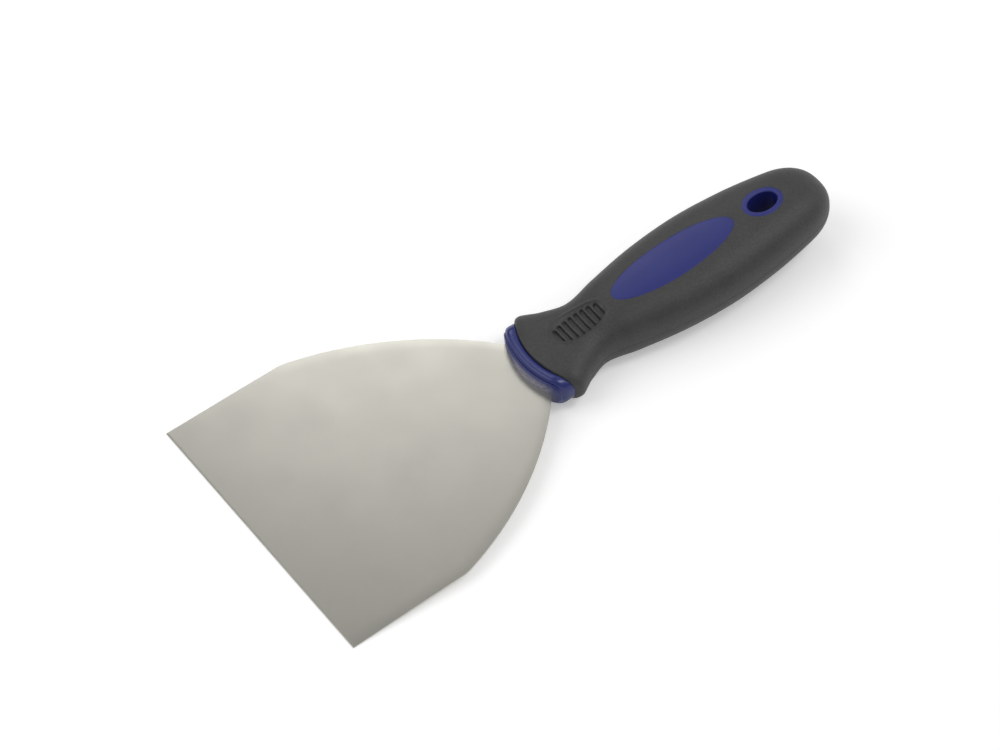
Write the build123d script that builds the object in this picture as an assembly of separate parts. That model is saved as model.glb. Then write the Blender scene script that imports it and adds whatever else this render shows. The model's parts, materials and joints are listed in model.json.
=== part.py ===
from build123d import *
from dataclasses import dataclass
import math
import os

# Flexible putty knife: a thin steel blade whose tang is moulded into a hard core,
# with a soft grip moulded over that core. Three pieces, none of which moves.
#
# The tool is modelled flat, in millimetres: length along X, front edge at X = 0,
# blade midplane at Z = 0. Places on the handle are distances behind the collar's
# foremost point. At the end the tool is laid down on its front edge and its
# belly, the way it rests on a table, with Z = 0 at the table.

# ---- blade: one stamped and ground sheet, with its tang ----
blade_width = 100.0           # across the front edge
blade_reach = 97.9            # front edge to the collar's foremost point
blade_thickness = 0.7         # as rolled, which the tang keeps
grind_depth = 0.04            # taken off each face in front of the collar
grind_stop_gap = 1.0          # from the ground face's back to the collar
shoulder_at = 41.9            # front edge to where the sides start to sweep in
shoulder_width = 98.8
shoulder_blend = 12.0         # radius that softens each shoulder
side_radius = 118.0           # of the swept sides
blade_neck_at = 2.7           # where the sides enter the collar
blade_neck_width = 24.6
front_corner_radius = 0.8
edge_bevel_length = 1.6       # the front edge is ground thinner again on both faces
edge_bevel_depth = 0.15
tang_cover = 2.2              # core plastic beside the tang, at the neck
tang_root_fillet = 3.0
tang_length = 75.0            # behind the collar's foremost point
tang_end_radius = 5.0
key_hole_diameter = 5.0       # the core's plastic runs through these and locks the tang
key_hole_places = (32.0, 58.0)

# ---- collar: the front of the hard core, a low nose and a rounded bead ----
collar_width = 32.3
collar_height = 11.6
collar_corner_radius = 5.0    # rounds its ends, seen along the tool
nose_depth = 0.8              # nose to bead, at the middle
nose_width = 29.8
nose_height = 8.6
nose_corner_radius = 3.4
nose_edge_fillet = 0.5
front_curve_radius = 28.5     # both fronts bow towards the blade
bead_depth = 3.4
bead_back_radius = 26.5       # the seam between the bead and the grip
bead_edge_fillet = 1.3
bead_middle_at = nose_depth + bead_depth / 2
seam_at = nose_depth + bead_depth

# ---- handle: stations along it, then the rules for its rounding ----
@dataclass(frozen=True)
class Station:
    at: float                 # behind the collar's foremost point
    width: float
    height: float

flare_front = Station(at=3.0, width=33.4, height=13.4)
flare = Station(at=10.0, width=34.4, height=14.8)
flare_back = Station(at=17.0, width=28.4, height=15.5)
neck = Station(at=25.0, width=22.6, height=16.2)
palm_front = Station(at=36.0, width=26.6, height=19.4)
palm = Station(at=52.0, width=32.2, height=21.0)
belly = Station(at=70.0, width=34.4, height=22.0)
tail_front = Station(at=87.0, width=31.9, height=21.7)
tail = Station(at=99.0, width=28.3, height=20.4)
butt = Station(at=116.1, width=22.6, height=17.6)   # the size its outline aims at
handle_stations = (flare_front, flare, flare_back, neck, palm_front, palm, belly, tail_front, tail, butt)
section_power = 2.5           # 2 is an ellipse, more is squarer
butt_round = 13.0             # length over which the end rounds over
butt_power = 2.6
butt_flat_share = 0.99        # how far along that rounding the end face lies
section_pitch = 5.0           # spacing of the sections that shape the handle
section_points = 32

grip_wall = 2.6               # soft material over the core
lip_fillet = 1.0              # grip's front rim, beside the bead

# ---- what shows through the grip, on both faces ----
window_at = 58.6
window_length = 46.5
window_width = 14.2
hole_at = 93.5
hole_length = 10.6            # along the tool
hole_width = 7.0
eyelet_wall = 1.2             # the core's ring round the hang hole

# ---- thumb rest: a dished oval with ribs, on both faces of the neck ----
thumb_at = 22.9
thumb_length = 20.4
thumb_width = 15.2            # level with its two ends; the rim is narrower where the handle falls away
thumb_depth = 1.8             # below a straight line between its two ends
thumb_bowl = 5.0              # upright half axis of the bowl that dishes it
slots_at = 22.2               # middle of the row of slots
slot_count = 8
slot_pitch = 2.2
slot_width = 0.9
slot_depth = 0.5              # below the dish
slot_field_length = 20.0      # the slots shorten to fit this oval
slot_field_width = 8.6

beyond = 60.0                 # how far cutting shapes run past the handle, on every side


def smooth_through(places, values, x):
    """Value at x on the smooth curve through the given places."""
    last = len(places) - 1
    i = max(k for k in range(last) if k == 0 or places[k] <= x)
    span = places[i + 1] - places[i]

    def slope(k):
        low, high = max(k - 1, 0), min(k + 1, last)
        return (values[high] - values[low]) / (places[high] - places[low])

    t = (x - places[i]) / span
    start = (2 * t**3 - 3 * t**2 + 1) * values[i] + (t**3 - 2 * t**2 + t) * span * slope(i)
    end = (3 * t**2 - 2 * t**3) * values[i + 1] + (t**3 - t**2) * span * slope(i + 1)
    return start + end


def handle_half_sizes(at, inset=0.0):
    """Half width and half height of the handle, drawn in by an inset."""
    places = [station.at for station in handle_stations]
    round_from = butt.at - butt_round
    past = max(0.0, (at - round_from) / (butt_round - inset))
    share = (1 - past**butt_power) ** (1 / butt_power)
    half_width = smooth_through(places, [station.width / 2 for station in handle_stations], at)
    half_height = smooth_through(places, [station.height / 2 for station in handle_stations], at)
    return (half_width - inset) * share, (half_height - inset) * share


def handle_section(at, inset=0.0):
    """One rounded cross-section of the handle, as a face."""
    half_width, half_height = handle_half_sizes(at, inset)
    points = []
    for i in range(section_points):
        angle = 2 * math.pi * i / section_points
        across = math.copysign(abs(math.cos(angle)) ** (2 / section_power), math.cos(angle))
        up = math.copysign(abs(math.sin(angle)) ** (2 / section_power), math.sin(angle))
        points.append((half_width * across, half_height * up))
    outline = Spline(*points, periodic=True)
    return Plane.YZ.offset(blade_reach + at) * make_face(outline)


def handle_form(inset=0.0):
    """The handle's rounded body, drawn in by an inset, before its front is cut."""
    round_from = butt.at - butt_round
    straight = round_from - flare_front.at
    steps = round(straight / section_pitch)
    places = [flare_front.at + straight * i / steps for i in range(steps + 1)]
    for share in (0.3, 0.55, 0.75, 0.88, 0.96, butt_flat_share):
        places.append(round_from + (butt_round - inset) * share)
    return loft([handle_section(at, inset) for at in places])


def behind_bow(at, radius):
    """Everything behind a bowed front across the tool, as a tall solid."""
    centre = blade_reach + at + radius
    length = butt.at + beyond
    rest = Pos(centre + length / 2, 0, 0) * Box(length, 2 * beyond, 2 * beyond)
    return Pos(centre, 0) * Cylinder(radius, 2 * beyond) + rest


def oval_prism(at, length, width):
    """A tall oval solid that stands across the handle."""
    oval = Pos(blade_reach + at, 0) * Ellipse(length / 2, width / 2)
    return extrude(oval, amount=beyond, both=True)


def swept_side_at(half_width):
    """How far behind the front edge the swept sides are this far from the middle."""
    shoulder = Vector(shoulder_at, shoulder_width / 2)
    entry = Vector(blade_reach + blade_neck_at, blade_neck_width / 2)
    chord = entry - shoulder
    inward = Vector(chord.Y, -chord.X).normalized()
    centre = (shoulder + entry) / 2 + inward * math.sqrt(side_radius**2 - (chord.length / 2) ** 2)
    return centre.X + math.sqrt(side_radius**2 - (half_width - centre.Y) ** 2)


def make_blade():
    """The steel sheet: flat front, swept sides and a straight tang."""
    half = blade_width / 2
    tang_half = neck.width / 2 - grip_wall - tang_cover
    tang_end = blade_reach + tang_length
    shoulder = (shoulder_at, shoulder_width / 2)
    root = (swept_side_at(tang_half), tang_half)
    upper = Polyline((0, 0), (0, half), shoulder)
    upper += RadiusArc(shoulder, root, side_radius)
    upper += Polyline(root, (tang_end, tang_half), (tang_end, 0))
    half_plan = make_face(upper + Line((tang_end, 0), (0, 0)))
    plan = half_plan + mirror(half_plan, about=Plane.XZ)

    def corners(x, y):
        return [v for v in plan.vertices() if abs(v.X - x) < 0.01 and abs(abs(v.Y) - y) < 0.01]

    plan = fillet(corners(0, half), front_corner_radius)
    plan = fillet(corners(*shoulder), shoulder_blend)
    plan = fillet(corners(*root), tang_root_fillet)
    plan = fillet(corners(tang_end, tang_half), tang_end_radius)
    blade = extrude(plan, amount=blade_thickness / 2, both=True)

    ground_half = blade_thickness / 2 - grind_depth
    ground_outline = make_face(Polyline(
        (0, ground_half - edge_bevel_depth),
        (edge_bevel_length, ground_half),
        (blade_reach - grind_stop_gap, ground_half),
        (blade_reach - grind_stop_gap, blade_thickness),
        (0, blade_thickness),
        close=True,
    ))
    ground_away = extrude(Plane.XZ * ground_outline, amount=blade_width, both=True)
    blade -= [ground_away, mirror(ground_away, about=Plane.XY)]
    for at in key_hole_places:
        blade -= Pos(blade_reach + at, 0) * Cylinder(key_hole_diameter / 2, 2 * blade_thickness)
    return blade


def bow_edges(piece, at, radius):
    """The edges of a piece that lie on its bowed front or back face."""
    centre_x = blade_reach + at + radius

    def on_bow(edge):
        spots = [edge.position_at(share) for share in (0.0, 0.5, 1.0)]
        return all(abs(math.hypot(spot.X - centre_x, spot.Y) - radius) < 0.01 for spot in spots)

    return piece.edges().filter_by(on_bow)


def bowed_bar(front, front_radius, back, back_radius, width, height, corner_radius):
    """A bar across the tool, bowed towards the blade, with rounded ends."""
    bar = behind_bow(front, front_radius) - behind_bow(back, back_radius)
    section = Plane.YZ * RectangleRounded(width, height, corner_radius)
    return bar & extrude(section, amount=blade_reach + butt.at)


def make_collar():
    """The core's front end: a nose that holds the blade and a bead behind it."""
    bead = bowed_bar(nose_depth, front_curve_radius, seam_at, bead_back_radius,
                     collar_width, collar_height, collar_corner_radius)
    bead = fillet(bow_edges(bead, nose_depth, front_curve_radius), bead_edge_fillet)
    bead = fillet(bow_edges(bead, seam_at, bead_back_radius), bead_edge_fillet)
    nose = bowed_bar(0, front_curve_radius, bead_middle_at, front_curve_radius,
                     nose_width, nose_height, nose_corner_radius)
    nose = fillet(bow_edges(nose, 0, front_curve_radius), nose_edge_fillet)
    return bead + nose


def make_handle(blade):
    """The hard core and the soft grip moulded over it."""
    outer = handle_form()
    inner = handle_form(grip_wall) & behind_bow(bead_middle_at, bead_back_radius)
    window = oval_prism(window_at, window_length, window_width)
    eyelet = oval_prism(hole_at, hole_length + 2 * eyelet_wall, hole_width + 2 * eyelet_wall)
    hole = oval_prism(hole_at, hole_length, hole_width)

    core = make_collar() + inner + (outer & window) + (outer & eyelet)
    core -= [hole, blade]

    grip = outer & behind_bow(seam_at, bead_back_radius)
    grip = fillet(bow_edges(grip, seam_at, bead_back_radius), lip_fillet)
    grip -= [inner, window, eyelet]
    upper_cuts = thumb_rest_cuts()
    grip -= upper_cuts + [mirror(cut, about=Plane.XY) for cut in upper_cuts]
    return core, grip


def thumb_rest_cuts():
    """The dish and its slots, as shapes to take from the upper face."""
    front_height = handle_half_sizes(thumb_at - thumb_length / 2)[1]
    back_height = handle_half_sizes(thumb_at + thumb_length / 2)[1]
    slope = math.degrees(math.atan2(back_height - front_height, thumb_length))
    middle = Pos(blade_reach + thumb_at, 0, (front_height + back_height) / 2) * Rot(0, -slope, 0)
    reach = math.sqrt(1 - (1 - thumb_depth / thumb_bowl) ** 2)
    bowl_length = thumb_length / reach
    bowl = scale(Sphere(1), by=(bowl_length / 2, thumb_width / 2 / reach, thumb_bowl))
    cuts = [middle * Pos(0, 0, thumb_bowl - thumb_depth) * bowl]
    for i in range(slot_count):
        offset = slot_pitch * (i - (slot_count - 1) / 2)
        along = slots_at + offset - thumb_at
        length = slot_field_width * math.sqrt(1 - (2 * offset / slot_field_length) ** 2)
        rise = thumb_bowl * (1 - math.sqrt(1 - (2 * along / bowl_length) ** 2))
        slot = SlotOverall(length, slot_width, rotation=90)
        place = middle * Pos(along, 0, rise - thumb_depth - slot_depth)
        cuts.append(place * extrude(slot, amount=thumb_bowl))
    return cuts


def resting_tilt():
    """How far the tool leans when its front edge and its belly are on a table."""
    ground_half = blade_thickness / 2 - grind_depth
    front_points = [(0, ground_half - edge_bevel_depth), (edge_bevel_length, ground_half)]
    steps = 2000
    length = butt.at - butt_round - flare_front.at
    places = [flare_front.at + length * i / steps for i in range(steps + 1)]
    underside = [(blade_reach + at, handle_half_sizes(at)[1]) for at in places]

    def lean_from(x, low):
        return max(math.atan2(handle_low - low, handle_x - x) for handle_x, handle_low in underside)

    return math.degrees(min(lean_from(x, low) for x, low in front_points))


def lay_down(pieces):
    """Tip the tool onto its front edge and belly, and centre it on the origin."""
    tipped = [Rot(0, -resting_tilt(), 0) * piece for piece in pieces]
    boxes = [piece.bounding_box() for piece in tipped]
    front = min(box.min.X for box in boxes)
    back = max(box.max.X for box in boxes)
    low = min(box.min.Z for box in boxes)
    return [Pos(-(front + back) / 2, 0, -low) * piece for piece in tipped]


def main():
    os.makedirs("parts", exist_ok=True)
    blade = make_blade()
    core, grip = make_handle(blade)
    names = ("blade", "handle_core", "soft_grip")
    for name, piece in zip(names, lay_down([blade, core, grip])):
        export_step(piece, f"parts/{name}.step")


main()
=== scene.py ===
"""A flexible putty knife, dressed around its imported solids.

A thin steel blade is moulded into a hard plastic core, whose collar, windows and
hang-hole eyelet show through a soft grip moulded over it. Shapes are worked out in
the tool's own flat frame, in millimetres: X runs back from the blade's front edge,
Y goes across and Z is square to the blade. ToolFrame then lays each point down the
way the tool rests on the table.
"""

import json
import logging
import math
from collections.abc import Callable, Sequence
from dataclasses import dataclass, field, replace
from enum import Enum

import bmesh
import bpy
from bmesh.types import BMesh, BMVert
from bpy.types import ID, Material, Node, NodeSocket, NodeTree, Object
from mathutils import Matrix, Vector

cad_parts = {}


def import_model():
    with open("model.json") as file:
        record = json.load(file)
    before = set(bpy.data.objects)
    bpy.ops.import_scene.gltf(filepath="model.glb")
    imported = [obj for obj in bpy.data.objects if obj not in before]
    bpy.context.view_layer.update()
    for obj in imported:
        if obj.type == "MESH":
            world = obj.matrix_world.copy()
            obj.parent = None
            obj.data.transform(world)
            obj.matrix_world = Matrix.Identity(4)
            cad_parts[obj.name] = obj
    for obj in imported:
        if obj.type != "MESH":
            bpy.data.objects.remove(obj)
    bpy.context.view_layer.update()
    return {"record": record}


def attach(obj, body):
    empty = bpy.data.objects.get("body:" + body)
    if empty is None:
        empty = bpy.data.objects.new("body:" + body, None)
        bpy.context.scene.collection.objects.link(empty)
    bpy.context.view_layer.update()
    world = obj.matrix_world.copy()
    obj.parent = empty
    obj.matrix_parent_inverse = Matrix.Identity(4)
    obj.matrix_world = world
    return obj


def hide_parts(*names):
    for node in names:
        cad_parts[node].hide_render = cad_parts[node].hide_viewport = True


MM = 0.001
WELD = 1e-7                      # metres; points this close are one point
BLADE_REACH = 97.9               # mm, front edge to the collar's foremost point
HIDDEN_DEPTH = 3.0               # mm that parts of the core run on below the grip's surface
CREASE = math.radians(50)        # edges of a cut piece that turn by more are shaded crisp
OVAL_STEPS = 128                 # points round the handle's openings
CUTTER_REACH = 20.0              # mm that their cutting bars run above and below the blade

log = logging.getLogger("putty_knife")

Place = tuple[float, float, float]
Spot = Callable[[int, int], Place]
Patterns = tuple[NodeSocket, NodeSocket, NodeSocket]


class Slot(Enum):
    """The record's material slots."""

    STEEL = "steel"
    HARD_PLASTIC = "hard_plastic"
    SOFT_RUBBER = "soft_rubber"


class Face(Enum):
    """The two broad sides of the handle, as the sign of Z."""

    UPPER = 1
    LOWER = -1


# ---------------------------------------------------------------- frame and shared maths


@dataclass(frozen=True)
class ToolFrame:
    """Lays the flat tool down in the row frame.

    Attributes:
        place: Turns metres in the flat tool frame into the row frame.
    """

    place: Matrix

    FACE_MOUNT = "blade_face"
    FACE_MOUNT_SPOT = Vector((0.040, 0.0, 0.00031))

    @classmethod
    def from_record(cls, record: dict) -> "ToolFrame":
        """Find the frame from the mount on the blade's upper face.

        Args:
            record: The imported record.

        Returns:
            The frame of the tool as it rests.
        """
        mount = next(m for m in record["mounts"] if m["name"] == cls.FACE_MOUNT)
        lean = math.atan2(-mount["axis"][0], mount["axis"][2])
        turn = Matrix.Rotation(-lean, 4, "Y")
        origin = Vector(mount["pos_m"]) - turn @ cls.FACE_MOUNT_SPOT
        return cls(Matrix.Translation(origin) @ turn)

    def put(self, spot: Place) -> Vector:
        """Row-frame place, in metres, of a spot given in millimetres."""
        return self.place @ (Vector(spot) * MM)


@dataclass(frozen=True)
class Bow:
    """A front that bows towards the blade, as an arc across the tool.

    Attributes:
        at: Distance of its middle behind the collar's foremost point, mm.
        radius: Radius of the arc, mm.
    """

    at: float
    radius: float

    def behind(self, across: float) -> float:
        """How far back the arc lies at a distance from the middle, mm."""
        return self.at + self.radius - math.sqrt(self.radius**2 - across**2)


@dataclass(frozen=True)
class Oval:
    """An oval that stands across the handle.

    Attributes:
        at: Its middle, behind the collar's foremost point, mm.
        length: Along the tool, mm.
        width: Across the tool, mm.
    """

    at: float
    length: float
    width: float

    def larger(self, outward: float) -> "Oval":
        """The oval with both its half axes longer by a length, mm."""
        return Oval(self.at, self.length + 2 * outward, self.width + 2 * outward)

    def rim(self, turn: float) -> tuple[float, float]:
        """Distances along and across of the point at a share of a turn round it, mm."""
        angle = 2 * math.pi * turn
        return self.at + self.length / 2 * math.cos(angle), self.width / 2 * math.sin(angle)


def smooth_step(x: float) -> float:
    """Rise smoothly from 0 at x = 0 to 1 at x = 1."""
    x = min(1.0, max(0.0, x))
    return x * x * (3 - 2 * x)


def smooth_least(a: float, b: float, blend: float) -> float:
    """The lesser of two values, with the change from one to the other rounded."""
    share = min(1.0, max(0.0, 0.5 + 0.5 * (b - a) / blend))
    return b + (a - b) * share - blend * share * (1 - share)


def spread(start: float, end: float, pitch: float) -> list[float]:
    """Evenly spaced values from start to end, about a pitch apart, ends included."""
    steps = max(1, round(abs(end - start) / pitch))
    return [start + (end - start) * i / steps for i in range(steps + 1)]


def quarter_arc(steps: int) -> list[tuple[float, float]]:
    """Sine and cosine from 0 to 90 degrees in even steps."""
    angles = [math.pi / 2 * i / steps for i in range(steps + 1)]
    return [(math.sin(angle), math.cos(angle)) for angle in angles]


# ---------------------------------------------------------------- mesh building


def wrap(name: str, rows: int, columns: int, spot: Spot, frame: ToolFrame) -> Object:
    """Wrap a flat grid into a closed shell.

    The grid's columns go once round the shell, so the first and last column are
    welded, and rows that shrink to a point or fold onto a line are welded shut.

    Args:
        name: The piece's name.
        rows: Number of rows of points.
        columns: Number of points round the shell.
        spot: Gives the place of each (row, column), mm in the flat tool frame.
        frame: Lays the piece down.

    Returns:
        The new object, with its place in its mesh.
    """
    bm = bmesh.new()
    bmesh.ops.create_grid(bm, x_segments=columns, y_segments=rows - 1, size=1)
    bm.verts.ensure_lookup_table()
    for i, vert in enumerate(bm.verts):
        row, column = divmod(i, columns + 1)
        vert.co = frame.put(spot(row, column % columns))
    bmesh.ops.remove_doubles(bm, verts=bm.verts, dist=WELD)
    bmesh.ops.dissolve_degenerate(bm, edges=bm.edges, dist=WELD)
    bmesh.ops.recalc_face_normals(bm, faces=bm.faces)
    return finished(bm, name)


def shown(name: str, data: ID) -> Object:
    """Put a mesh, lamp or camera in the scene.

    Args:
        name: The object's name.
        data: The mesh, lamp or camera.

    Returns:
        The new object.
    """
    holder = bpy.data.objects.new(name, data)
    bpy.context.scene.collection.objects.link(holder)
    return holder


def finished(bm: BMesh, name: str) -> Object:
    """Turn a bmesh into a smooth-shaded object of the scene, and free it.

    Args:
        bm: The finished shape.
        name: The object's name.

    Returns:
        The new object.
    """
    mesh = bpy.data.meshes.new(name)
    for face in bm.faces:
        face.smooth = True
    bm.to_mesh(mesh)
    bm.free()
    return shown(name, mesh)


def prism(name: str, oval: Oval, steps: int, reach: float, frame: ToolFrame) -> Object:
    """A tall oval bar, used to cut an opening through a piece.

    Args:
        name: The bar's name.
        oval: Its section.
        steps: Points round the oval.
        reach: How far it runs above and below the blade's midplane, mm.
        frame: Lays it down.

    Returns:
        The bar.
    """
    bm = bmesh.new()
    ring = bmesh.ops.create_circle(bm, segments=steps, radius=1, cap_ends=True)["verts"]
    for i, vert in enumerate(ring):
        at, across = oval.rim(i / steps)
        vert.co = frame.put((BLADE_REACH + at, across, -reach))
    up = frame.put((0, 0, 2 * reach)) - frame.put((0, 0, 0))
    bm.faces.ensure_lookup_table()
    pulled = bmesh.ops.extrude_face_region(bm, geom=[bm.faces[0]])["geom"]
    bmesh.ops.translate(bm, vec=up, verts=[v for v in pulled if isinstance(v, BMVert)])
    bmesh.ops.recalc_face_normals(bm, faces=bm.faces)
    return finished(bm, name)


def cut(piece: Object, cutters: Sequence[Object]) -> None:
    """Take cutting shapes away from a piece, and delete them.

    Args:
        piece: The piece that gets the openings.
        cutters: Closed shapes that are removed from it.
    """
    for cutter in cutters:
        tool = piece.modifiers.new(cutter.name, "BOOLEAN")
        tool.operation = "DIFFERENCE"
        tool.solver = "EXACT"
        tool.object = cutter
    bpy.context.view_layer.update()
    shaped = piece.evaluated_get(bpy.context.evaluated_depsgraph_get())
    plain = piece.data
    piece.data = bpy.data.meshes.new_from_object(shaped)
    piece.data.name = piece.name
    piece.modifiers.clear()
    piece.data.set_sharp_from_angle(angle=CREASE)
    bpy.data.meshes.remove(plain)
    for cutter in cutters:
        mesh = cutter.data
        bpy.data.objects.remove(cutter)
        bpy.data.meshes.remove(mesh)


# ---------------------------------------------------------------- finishes


def linear(code: str) -> tuple[float, float, float, float]:
    """Turn an sRGB colour to linear.

    Args:
        code: Six hex digits.

    Returns:
        Linear red, green and blue, and an alpha of 1.
    """
    channels = [int(code[i:i + 2], 16) / 255 for i in (0, 2, 4)]
    red, green, blue = (
        c / 12.92 if c <= 0.04045 else ((c + 0.055) / 1.055) ** 2.4 for c in channels
    )
    return red, green, blue, 1.0


def add_node(
    tree: NodeTree,
    kind: str,
    settings: dict[str, object] | None = None,
    values: dict[str | int, object] | None = None,
    links: dict[str | int, NodeSocket] | None = None,
) -> Node:
    """Add a node with its settings, socket values and links.

    Args:
        tree: The material's or world's nodes.
        kind: The node's type.
        settings: The node's own properties.
        values: Values of its inputs, by name or number.
        links: Outputs that feed its inputs, by name or number.

    Returns:
        The new node.
    """
    node = tree.nodes.new(kind)
    for key, value in (settings or {}).items():
        setattr(node, key, value)
    for key, value in (values or {}).items():
        node.inputs[key].default_value = value
    for key, output in (links or {}).items():
        tree.links.new(output, node.inputs[key])
    return node


def blank_material(name: str) -> Material:
    """Start a material.

    Args:
        name: Its name.

    Returns:
        The new material, with an empty node tree.
    """
    material = bpy.data.materials.new(name)
    material.use_nodes = True
    material.node_tree.nodes.clear()
    return material


def tool_coordinates(tree: NodeTree, frame: ToolFrame, stretch: Sequence[float]) -> NodeSocket:
    """Places in the flat tool frame, stretched for a pattern.

    Args:
        tree: The material's nodes.
        frame: The frame in which the tool lies.
        stretch: Scale of the pattern along, across and through the tool.

    Returns:
        The mapped vector.
    """
    back = frame.place.inverted()
    vector = add_node(tree, "ShaderNodeTexCoord").outputs["Object"]
    turned = {"Location": back.translation, "Rotation": back.to_euler()}
    for values in (turned, {"Scale": stretch}):
        mapping = add_node(
            tree,
            "ShaderNodeMapping",
            settings={"vector_type": "POINT"},
            values=values,
            links={"Vector": vector},
        )
        vector = mapping.outputs["Vector"]
    return vector


def clouds(
    tree: NodeTree,
    frame: ToolFrame,
    sizes_mm: Sequence[float],
    layers: tuple[float, float],
) -> NodeSocket:
    """A cloudy pattern that keeps its place on the tool.

    Args:
        tree: The material's nodes.
        frame: The frame in which the tool lies.
        sizes_mm: Size of one cloud along, across and through the tool, mm.
        layers: Number of finer layers, and how strong they are.

    Returns:
        The pattern's level, about 0 to 1.
    """
    stretch = [1 / (size * MM) for size in sizes_mm]
    noise = add_node(
        tree,
        "ShaderNodeTexNoise",
        values={"Scale": 1.0, "Detail": layers[0], "Roughness": layers[1]},
        links={"Vector": tool_coordinates(tree, frame, stretch)},
    )
    return noise.outputs["Fac"]


@dataclass(frozen=True)
class Finish:
    """What all finishes have: two colours, a range of roughness and a fine relief.

    Attributes:
        name: The material's name.
        colours: Its main colour, and the one that its pattern brings in.
        roughness: Lowest and highest.
        relief_mm: Height of the relief.
    """

    name: str
    colours: tuple[str, str]
    roughness: tuple[float, float]
    relief_mm: float

    def fixed(self) -> dict[str, float]:
        """The shader's values that are the same all over."""
        raise NotImplementedError

    def patterns(self, tree: NodeTree, frame: ToolFrame) -> Patterns:
        """Build the patterns.

        Args:
            tree: The material's nodes.
            frame: The frame in which the tool lies.

        Returns:
            The share of the second colour, the share of the higher roughness, and the
            relief.
        """
        raise NotImplementedError

    def with_painted_reflection(self, tree: NodeTree, frame: ToolFrame, colour: NodeSocket) -> NodeSocket:
        """The colour with its painted reflection, for a finish that has one."""
        return colour

    def make(self, frame: ToolFrame) -> Material:
        """Build the material.

        Args:
            frame: The frame that its patterns line up with.

        Returns:
            The material.
        """
        material = blank_material(self.name)
        tree = material.node_tree
        share, dulled, relief = self.patterns(tree, frame)
        colour = add_node(
            tree,
            "ShaderNodeMix",
            settings={"data_type": "RGBA"},
            values={6: linear(self.colours[0]), 7: linear(self.colours[1])},
            links={0: share},
        )
        roughness = add_node(
            tree,
            "ShaderNodeMapRange",
            values={"To Min": self.roughness[0], "To Max": self.roughness[1]},
            links={"Value": dulled},
        )
        bump = add_node(
            tree,
            "ShaderNodeBump",
            values={"Strength": 1.0, "Distance": self.relief_mm * MM},
            links={"Height": relief},
        )
        shader = add_node(
            tree,
            "ShaderNodeBsdfPrincipled",
            values=self.fixed(),
            links={
                "Base Color": self.with_painted_reflection(tree, frame, colour.outputs[2]),
                "Roughness": roughness.outputs["Result"],
                "Normal": bump.outputs["Normal"],
            },
        )
        add_node(tree, "ShaderNodeOutputMaterial", links={"Surface": shader.outputs["BSDF"]})
        return material


@dataclass(frozen=True)
class SatinStainless(Finish):
    """Stainless strip steel, finely ground along its length and then handled.

    The grinding leaves hair-fine lines that smear reflections, and thin smudges
    that change the gloss a little without changing the colour much.

    Attributes:
        line_mm: Spacing of the lines. Real ones are near 0.05 mm apart, and these are
            drawn as coarse as they need to be to show.
        line_length_mm: Their length.
        line_layers: Their finer layers.
        smudge_mm: Size of a smudge.
        smudge_layers: Its finer layers.
        smudge_range: Levels of the clouds where a smudge starts and is full.
    """

    name: str = "satin_stainless_steel"
    colours: tuple[str, str] = ("BFBDB4", "B8B6AE")
    roughness: tuple[float, float] = (0.28, 0.33)
    relief_mm: float = 0.0016
    line_mm: float = 0.6
    line_length_mm: float = 9.0
    line_layers: tuple[float, float] = (2.0, 0.6)
    smudge_mm: float = 17.0
    smudge_layers: tuple[float, float] = (4.0, 0.45)
    smudge_range: tuple[float, float] = (0.25, 0.75)

    def fixed(self) -> dict[str, float]:
        """It is bare metal."""
        return {"Metallic": 1.0}

    def patterns(self, tree: NodeTree, frame: ToolFrame) -> Patterns:
        """Build the smudges, which bring in both colour and roughness, and the lines.

        Args:
            tree: The material's nodes.
            frame: The frame in which the tool lies.

        Returns:
            The smudges twice, and the lines.
        """
        line_sizes = (self.line_length_mm, self.line_mm, self.line_length_mm)
        lines = clouds(tree, frame, line_sizes, self.line_layers)
        smudges = add_node(
            tree,
            "ShaderNodeMapRange",
            values={"From Min": self.smudge_range[0], "From Max": self.smudge_range[1]},
            links={"Value": clouds(tree, frame, (self.smudge_mm,) * 3, self.smudge_layers)},
        ).outputs["Result"]
        return smudges, smudges, lines


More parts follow.
